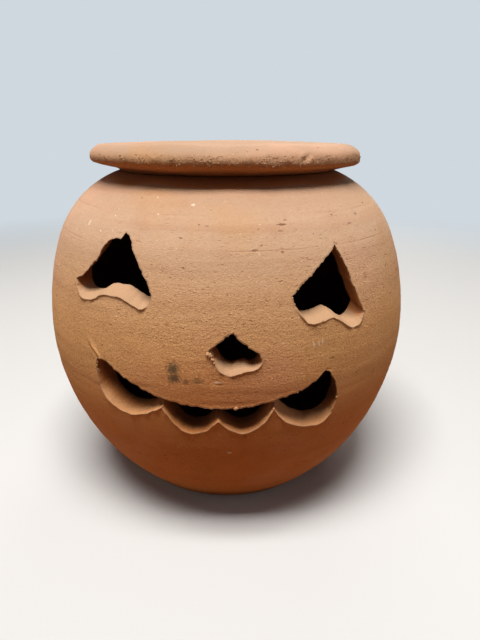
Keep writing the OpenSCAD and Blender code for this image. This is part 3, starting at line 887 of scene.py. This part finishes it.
clayLook = {
    # tone of the clay at the foot, belly, shoulder, crown and lid, and the heights between which it changes.
    # In part
    # painted light and shade: the shoulder, crown and lid are greyer and darker and the belly brighter, to
    # hold back the overhead light where it is strongest
    "foot": screen(203, 129, 71), "belly": screen(213, 160, 104), "shoulder": screen(195, 161, 132),
    "crown": screen(179, 144, 116), "lidEdge": screen(174, 134, 100), "lidTop": screen(171, 140, 114),
    "bellyHeights": (50, 100), "shoulderHeights": (98, 158), "crownHeights": (154, 165),
    "lidEdgeHeights": (172.5, 174), "lidTopHeights": (179, 184),
    "pink": screen(216, 164, 136), "ochre": screen(190, 142, 88), "deep": screen(160, 96, 60),
    # the soot colour is soot and painted shade together, on all that the inside mask darkens
    "cutFace": screen(175, 138, 106), "sootAndShade": screen(62, 30, 18),
    "paleSpeck": screen(236, 212, 188), "paleGrit": screen(234, 188, 138),
    # the pit colour is painted shade for the pits and dents
    "pitDark": screen(104, 58, 36), "smudge": screen(84, 70, 52),
    # noises: cells to the metre, detail and roughness
    "cloud": (17, 3, 0.5), "patch": (75, 4, 0.6), "ragged": (900, 3, 0.65), "sand": (620, 4, 0.8),
    "grit": (1500, 2, 0.6), "dash": (330, 2, 0.55), "bands": (1, 3, 0.6), "sway": (1, 2, 0.5),
    # cells to the metre, and the scale and amount of the warp that makes their shapes uneven
    "grainCells": 900, "grainWarp": (900, 0.0006), "holeCells": 210, "holeWarp": (300, 0.0016),
    "speckCells": 260, "dashWarp": (260, 0.002),
    # how these are flattened, or drawn out round the pot
    "holeStretch": (1, 1, 1.7), "dashStretch": (1, 1, 3.2), "bandStretch": (5, 5, 190),
    "swayStretch": (9, 9, 2), "breakStretch": (40, 40, 200),
    "dashHeights": (160, 125), "sandHeights": (165, 138),    # the skin is smoother above
    # height and strength of the lines that throwing left, half their width, and how much they sway
    "throwingLines": [(158.2, 0.3), (145.6, 0.45), (131, 0.15), (117.5, 0.1), (60, 0.2), (47, 0.15),
                      (28, 0.2)],
    "lineWidth": (0.55, 0.05), "lineSway": 1.6,
    # marks on the skin: turn, height, half width, half height and strength. Their rims are soft or sharp
    "softRim": (1.3, 0.25), "sharpRim": (1.1, 0.6), "markUneven": 1.6,
    # painted shade: a patch round the smile tinted to the saturated foot tone, for the redder shade below
    # the belly's bulge
    "warmShade": [(-3, 80, 50, 26, 0.65)],
    "stains": [(-13.4, 98, 3.2, 3.6, 0.85), (-13.2, 93.8, 3.4, 2.7, 0.85), (-10.3, 92.6, 1.7, 1.4, 0.55),
               (-7.4, 93, 3.0, 1.5, 0.5)],
    # dark marks, partly dark specks and partly painted shade in the dents and pits of the skin; the last is
    # the painted shadow under the raised curl below the nose
    "pits": [(15.9, 154.7, 2.2, 0.4, 1), (17.1, 156.2, 0.8, 0.5, 0.6), (15, 152.4, 1.3, 0.4, 0.5),
             (45.9, 155.6, 1.1, 0.6, 0.6), (40, 152.6, 1.8, 0.45, 0.5), (9.1, 147.4, 0.8, 0.5, 0.55),
             (14.7, 144.6, 0.8, 0.7, 0.7), (7.2, 145.7, 1.3, 0.5, 0.7), (-5.7, 154.6, 1.0, 0.4, 0.45),
             (-12.6, 150.1, 0.7, 0.6, 0.6), (-16.7, 137.7, 0.6, 0.6, 0.55), (-11.2, 139.1, 0.6, 0.6, 0.6),
             (40.7, 129.6, 0.7, 0.7, 0.6), (-53.9, 132.2, 0.7, 0.7, 0.6), (27, 98.4, 1.4, 0.6, 0.6),
             (-2.2, 91.7, 2.6, 0.5, 0.7)],
    "scuffs": [(21.4, 106.2, 0.6, 1.6, 0.7), (22.9, 106.3, 0.5, 1.4, 0.6), (23.9, 106.6, 0.5, 1.7, 0.6),
               (-2.4, 92.7, 2.6, 0.4, 0.5), (0, 53.2, 1.3, 0.9, 0.7), (-40.2, 150, 0.6, 0.6, 0.7),
               (9.3, 154.9, 0.5, 0.4, 0.8), (-21.2, 158.4, 0.6, 0.4, 0.6), (-36.8, 156.5, 0.5, 0.4, 0.5),
               (-47.6, 152.6, 1.1, 5, 0.4), (-10.7, 162.1, 1.0, 0.7, 0.6)],
}


# Where a mark on the skin is, in metres
def skinPlace(turn, height):
    angle, radius = np.radians(turn), outerRadius(np.array(float(height)))
    return np.array([radius * np.sin(angle), -radius * np.cos(angle), height]) / perMetre


# The strongest of several oval marks with ragged edges: 1 within the oval, fading out near its rim
def ovalMarks(place, ragged, marks, rim):
    total = ragged * 0.0
    for turn, height, wide, tall, strength in marks:
        scale = perMetre / np.array([wide, wide, tall])
        near = place.stretch(*scale).distance(skinPlace(turn, height) * scale)
        total = total.math("MAXIMUM", (near + ragged).fade(*rim) * strength)
    return total


# Unglazed clay: tone by height, in part painted light and shade, with pink and ochre clouds, sand grains,
# pits darkened as painted shade, throwing lines, marks by place, paler knife-cut faces, and soot and painted
# shade where the inside mask is. The sand is coarser between the rough heights
def clayMaterial(name, marks):
    look = clayLook
    material = bpy.data.materials.new(name)
    start = emptyNodes(material)
    place = start.node("TexCoord", output="Object")
    height = start.node("SeparateXYZ", {}, {0: place}, "Z") * perMetre
    cut = start.node("Attribute", {"attribute_name": "cut"}, output="Fac")
    inside = start.node("Attribute", {"attribute_name": "inside"}, output="Fac")
    skin = 1 - cut
    low, full, fading, high = marks["rough"]
    rough = height.fade(low, full) * height.fade(high, fading) * skin

    cloud = place.noise(*look["cloud"])
    patch = place.noise(*look["patch"])
    ragged = place.noise(*look["ragged"])
    sand = place.noise(*look["sand"])
    grit = place.noise(*look["grit"])
    grains = place.warp(*look["grainWarp"]).cells(look["grainCells"])
    grain = grains.fade(0.4, 0.1) * grains.pick(0.55, 0.8)
    # small pits, darkened as painted shade
    holes = place.warp(*look["holeWarp"]).stretch(*look["holeStretch"]).cells(look["holeCells"])
    hole = (holes - 0.15 * holes.pick(0.5, 1.0)).fade(0.01, -0.05)
    specks = place.cells(look["speckCells"])
    speck = specks.fade(0.13, 0.05) * specks.pick(0.66, 0.7)
    dash = place.warp(*look["dashWarp"]).stretch(*look["dashStretch"]).noise(*look["dash"])
    dash = dash.fade(0.64, 0.71) * skin * (0.3 + 0.7 * height.fade(*look["dashHeights"]))
    bands = place.stretch(*look["bandStretch"]).noise(*look["bands"])
    sway = height + look["lineSway"] * (place.stretch(*look["swayStretch"]).noise(*look["sway"]) - 0.5)
    lines = sway * 0.0
    for level, strength in look["throwingLines"]:
        lines = lines + (sway - level).math("ABSOLUTE", 0.0).fade(*look["lineWidth"]) * strength
    breaks = place.stretch(*look["breakStretch"]).noise(*look["bands"])
    lines = lines * breaks.fade(0.42, 0.66) * marks["lines"]
    uneven = (ragged - 0.5) * look["markUneven"]
    warmShade = ovalMarks(place, uneven, marks["warmShade"], look["softRim"])
    stain = ovalMarks(place, uneven, marks["stains"], look["softRim"])
    dark = ovalMarks(place, uneven, marks["pits"], look["sharpRim"])
    pale = ovalMarks(place, uneven, marks["scuffs"], look["sharpRim"])

    # colours laid over one another, each by its mask
    # tone by height, in part painted shade on the top and painted light on the belly against the overhead
    # light
    colour = look["foot"]
    for tone in ("belly", "shoulder", "crown", "lidEdge", "lidTop"):
        colour = height.fade(*look[tone + "Heights"]).tint(colour, look[tone])
    layers = [
        (cloud.fade(0.5, 0.72) * 0.4, "pink"),
        (cloud.fade(0.5, 0.28) * 0.4, "ochre"),
        (patch.fade(0.5, 0.75) * 0.13, "deep"),
        (bands.fade(0.48, 0.75) * 0.2, "deep"),
        # painted shade round the smile
        (warmShade, "foot"),
        (sand.fade(0.45, 0.8) * 0.2, "deep"),
        (cut * 0.85, "cutFace"),
        (grain * 0.16, "paleSpeck"),
        (speck * skin * 0.6, "paleSpeck"),
        (grit.fade(0.5, 0.7) * rough * 0.45, "deep"),
        (grit.fade(0.48, 0.3) * rough * 0.3, "paleGrit"),
        (lines * skin * 0.4, "deep"),
        (dash * 0.5, "deep"),
        # painted shade in the small pits
        (hole * skin * 0.7, "pitDark"),
        (stain, "smudge"),
        # painted shade in the marked pits and dents
        (dark * 0.7, "pitDark"),
        (pale, "paleSpeck"),
        # painted shade and soot: where the inside mask comes in the clay turns to the saturated foot tone,
        # then darkens to the soot colour
        (inside.fade(0, 0.35) * 0.8, "foot"),
        (inside * 0.8, "sootAndShade"),
    ]
    for mask, tone in layers:
        colour = mask.tint(colour, look[tone])

    sandy = 0.55 + 0.45 * height.fade(*look["sandHeights"]) + 0.4 * rough
    relief = (sand * 0.9 + grain * 0.3) * sandy + patch * 0.3
    relief = relief + grit * rough * (0.4 + 0.9 * patch)
    relief = relief - (hole + dark + dash * 0.9) * skin * 0.9 - lines * 0.7
    relief = relief + pale * 0.5 + bands * 0.6 * skin
    bump = start.node("Bump", {}, {"Strength": 0.7, "Distance": 0.0004, "Height": relief}, "Normal")
    shader = start.node("BsdfPrincipled", {}, {
        "Base Color": colour, "Roughness": 0.78 + 0.16 * patch, "Normal": bump,
        "Specular IOR Level": 0.12, "Diffuse Roughness": 0.15,
    })
    start.node("OutputMaterial", {}, {"Surface": shader})
    print("material", name, "has", len(material.node_tree.nodes), "nodes")
    return material


# Marks of each piece, how much its throwing lines show, and the heights where its sand starts to coarsen, is
# coarsest, starts to get finer and is fine again
potMarks = {name: clayLook[name] for name in ("warmShade", "stains", "pits", "scuffs")}
potMarks.update({"lines": 1.0, "rough": (62, 95, 110, 172)})
pot = thrownPot(clayMaterial("pot_terracotta", potMarks))
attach(pot, "pot")
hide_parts("pot")

lidMarks = {"warmShade": [], "stains": [], "pits": [], "scuffs": [], "lines": 0.0}
lidMarks["rough"] = [rimHeight + above for above in (2, 4.5, 7, 11)]
lid = discLid(clayMaterial("lid_terracotta", lidMarks))
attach(lid, "lid")
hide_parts("lid")


studio = {
    "floorRadius": 4.0, "floorPoints": 96,
    "floorFade": (0.45, 1.1),    # the floor turns into the backdrop between these
    "floorSeen": (0.6, 0.59, 0.57, 1.0), "floorBounce": (0.22, 0.097, 0.035, 1.0),
    "backdrop": screen(207, 216, 223), "fill": (0.85, 0.92, 1.0, 1.0), "fillStrength": 0.05,
    # place, width, depth and power of the soft lights
    "softboxes": {"overhead_strip": ((-0.07, -0.24, 1.30), 0.75, 0.16, 11.8),
                  "front_strip": ((-0.1, -0.44, 1.28), 0.75, 0.2, 14.2),
                  "front_fill": ((-0.55, -0.95, 0.62), 0.6, 0.4, 0.3),
                  "left_fill": ((-1.0, -0.2, 0.3), 0.5, 0.5, 0.75),
                  "right_fill": ((1.0, -0.2, 0.3), 0.5, 0.5, 0.95),
                  "rear_softbox": ((0.25, 1.05, 0.6), 0.8, 0.4, 4.5)},
    "lightColour": (1.0, 0.99, 0.98),
    # the camera is 278 mm in front of the axis and level with the lid, and looks down. Its focal length is
    # in the same unit as the picture's height
    "cameraPlace": (0.0, -0.278, 0.1885), "cameraPitch": 20.85, "cameraYaw": 1.55, "cameraFocus": 481,
    "pictureHeight": 640,
}


# 1 for rays that show the stage as a picture: from the camera, a reflection or through glass
def seenRay(start):
    path = start.node("LightPath", output="Is Camera Ray")
    seen = path + path.other("Is Glossy Ray") + path.other("Is Transmission Ray")
    return seen.math("MINIMUM", 1.0)


# Flat disc for the floor, a ring of points joined to its middle
def studioFloor():
    floor = ClayMesh()
    around = np.linspace(-180, 180, studio["floorPoints"], endpoint=False)
    rim = floor.add(around, studio["floorRadius"] * perMetre, 0.0)
    floor.bridge(rim, floor.middle(0.0))
    material = bpy.data.materials.new("floor_paper")
    start = emptyNodes(material)
    seen = seenRay(start)
    paper = start.node("BsdfPrincipled", {}, {
        "Base Color": seen.tint(studio["floorBounce"], studio["floorSeen"]),
        "Roughness": 0.95, "Specular IOR Level": 0.0,
    })
    distance = start.node("TexCoord", output="Object").distance((0, 0, 0))
    far = start.node("Emission", {}, {"Color": studio["backdrop"]})
    share = distance.fade(*studio["floorFade"]) * seen
    mixed = start.node("MixShader", {}, {0: share, 1: paper, 2: far})
    start.node("OutputMaterial", {}, {"Surface": mixed})
    return floor.build("studio_floor", material)


studioFloor()

world = bpy.data.worlds.new("studio")
sky = emptyNodes(world)
shown = sky.node("Background", {}, {"Color": studio["backdrop"], "Strength": 1.0})
lit = sky.node("Background", {}, {"Color": studio["fill"], "Strength": studio["fillStrength"]})
mixed = sky.node("MixShader", {}, {0: seenRay(sky), 1: lit, 2: shown})
sky.node("OutputWorld", {}, {"Surface": mixed})
bpy.context.scene.world = world

for name, (place, width, depth, power) in studio["softboxes"].items():
    light = bpy.data.lights.new(name, "AREA")
    light.shape = "RECTANGLE"
    light.size = width
    light.size_y = depth
    light.energy = power
    light.color = studio["lightColour"]
    softbox = putInScene(name, light)
    softbox.location = place
    # turned about x and y only, so that the wide side stays level
    aim = np.array((0, 0, rimHeight / perMetre / 2)) - place
    pitch = np.arctan2(aim[1], np.hypot(aim[0], aim[2]))
    roll = np.arctan2(-aim[0], -aim[2])
    softbox.rotation_euler = (pitch, roll, 0)

camera = bpy.data.cameras.new("photo_view")
camera.sensor_width = 36.0
camera.lens = studio["cameraFocus"] / studio["pictureHeight"] * camera.sensor_width
camera.clip_start = 0.01
cameraObject = putInScene("photo_view", camera)
cameraObject.location = studio["cameraPlace"]
cameraObject.rotation_euler = np.radians([90 - studio["cameraPitch"], 0, -studio["cameraYaw"]])
bpy.context.scene.camera = cameraObject
bpy.context.scene.view_settings.view_transform = "Standard"
print("stage, light and camera set")
